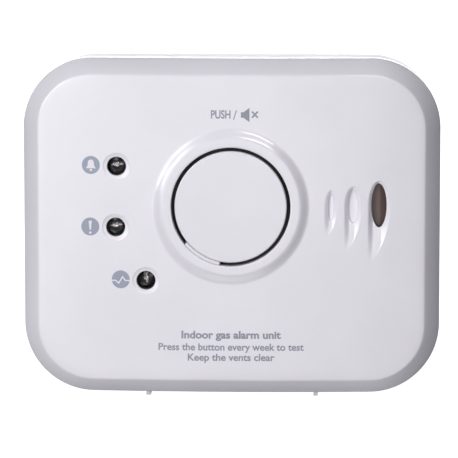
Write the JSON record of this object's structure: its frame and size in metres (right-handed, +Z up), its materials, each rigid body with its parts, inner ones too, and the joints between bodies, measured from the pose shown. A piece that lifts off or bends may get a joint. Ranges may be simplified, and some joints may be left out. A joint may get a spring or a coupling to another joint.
{
  "type": "carbon monoxide alarm",
  "caption": "White rounded-rectangle gas alarm with a hinged round test button, indicator lights, oval vents, battery door and slide-off wall bracket.",
  "frame": {"origin": "centre of the wall bracket's back face, on the case's vertical and horizontal centre lines", "axes": "-Y out of the wall towards the viewer, +X to the viewer's right, +Z up"},
  "size_m": [0.12, 0.035, 0.099],
  "materials": {
    "case_white": "satin",
    "case_rear_white": "satin",
    "button_white": "satin",
    "black_plastic": "matte",
    "grey_plastic": "matte",
    "plated_steel": "satin",
    "brass_plate": "satin",
    "ceramic": "matte",
    "board_green": "satin",
    "lamp_clear": "polished",
    "sensor_brown": "matte",
    "foam": "matte",
    "chip_black": "matte",
    "capacitor_tan": "matte",
    "cell_sleeve": "gloss",
    "label_silver": "matte"
  },
  "bodies": {
    "alarm": {"front_cover": "case_white", "rear_case": "case_rear_white", "case_screws": "plated_steel", "button_hinge_frame": "button_white", "button_dust_ring": "black_plastic", "sounder_housing": "black_plastic", "sounder_gasket": "foam", "piezo_plate": "brass_plate", "piezo_ceramic": "ceramic", "piezo_contact_springs": "plated_steel", "main_pcb": "board_green", "led_alarm": "lamp_clear", "led_fault": "lamp_clear", "led_power": "lamp_clear", "led_leadframes": "plated_steel", "led_sleeves": "black_plastic", "tact_switch_body": "black_plastic", "tact_switch_cover": "plated_steel", "microcontroller": "chip_black", "electrolytic_capacitors": "chip_black", "inductor": "chip_black", "chip_resistors": "chip_black", "chip_capacitors": "capacitor_tan", "co_sensor_body": "sensor_brown", "co_sensor_cap": "plated_steel", "co_sensor_pins": "plated_steel", "sensor_gasket": "foam", "battery_cell_upper": "cell_sleeve", "battery_cell_lower": "cell_sleeve", "battery_spring_contacts": "plated_steel", "battery_plate_contacts": "plated_steel", "contact_link": "plated_steel", "rating_label": "label_silver"},
    "test_button": {"test_button": "button_white"},
    "switch_plunger": {"tact_switch_plunger": "grey_plastic"},
    "battery_door": {"battery_door": "case_rear_white"},
    "wall_bracket": {"wall_bracket": "case_rear_white"}
  },
  "joints": [
    {"name": "button_press", "type": "hinge", "parent": "alarm", "child": "test_button", "pos_m": [-0.0075, -0.0306, -0.00618], "axis": [-0.859, 0, 0.512], "range_deg": [0, 1.3], "stiffness_Nm_per_rad": 1.2},
    {"name": "plunger_slide", "type": "slide", "parent": "alarm", "child": "switch_plunger", "axis": [0, 1, 0], "range_m": [0, 0.0008]},
    {"name": "battery_door_hinge", "type": "hinge", "parent": "alarm", "child": "battery_door", "pos_m": [0, -0.0036, -0.0402], "axis": [-1, 0, 0], "range_deg": [0, 75]},
    {"name": "bracket_slide", "type": "slide", "parent": "alarm", "child": "wall_bracket", "axis": [0, 0, -1], "range_m": [0, 0.006]}
  ],
  "couplings": [
    {"joint": "plunger_slide", "follows": "button_press", "m_per_rad": 0.03415}
  ]
}
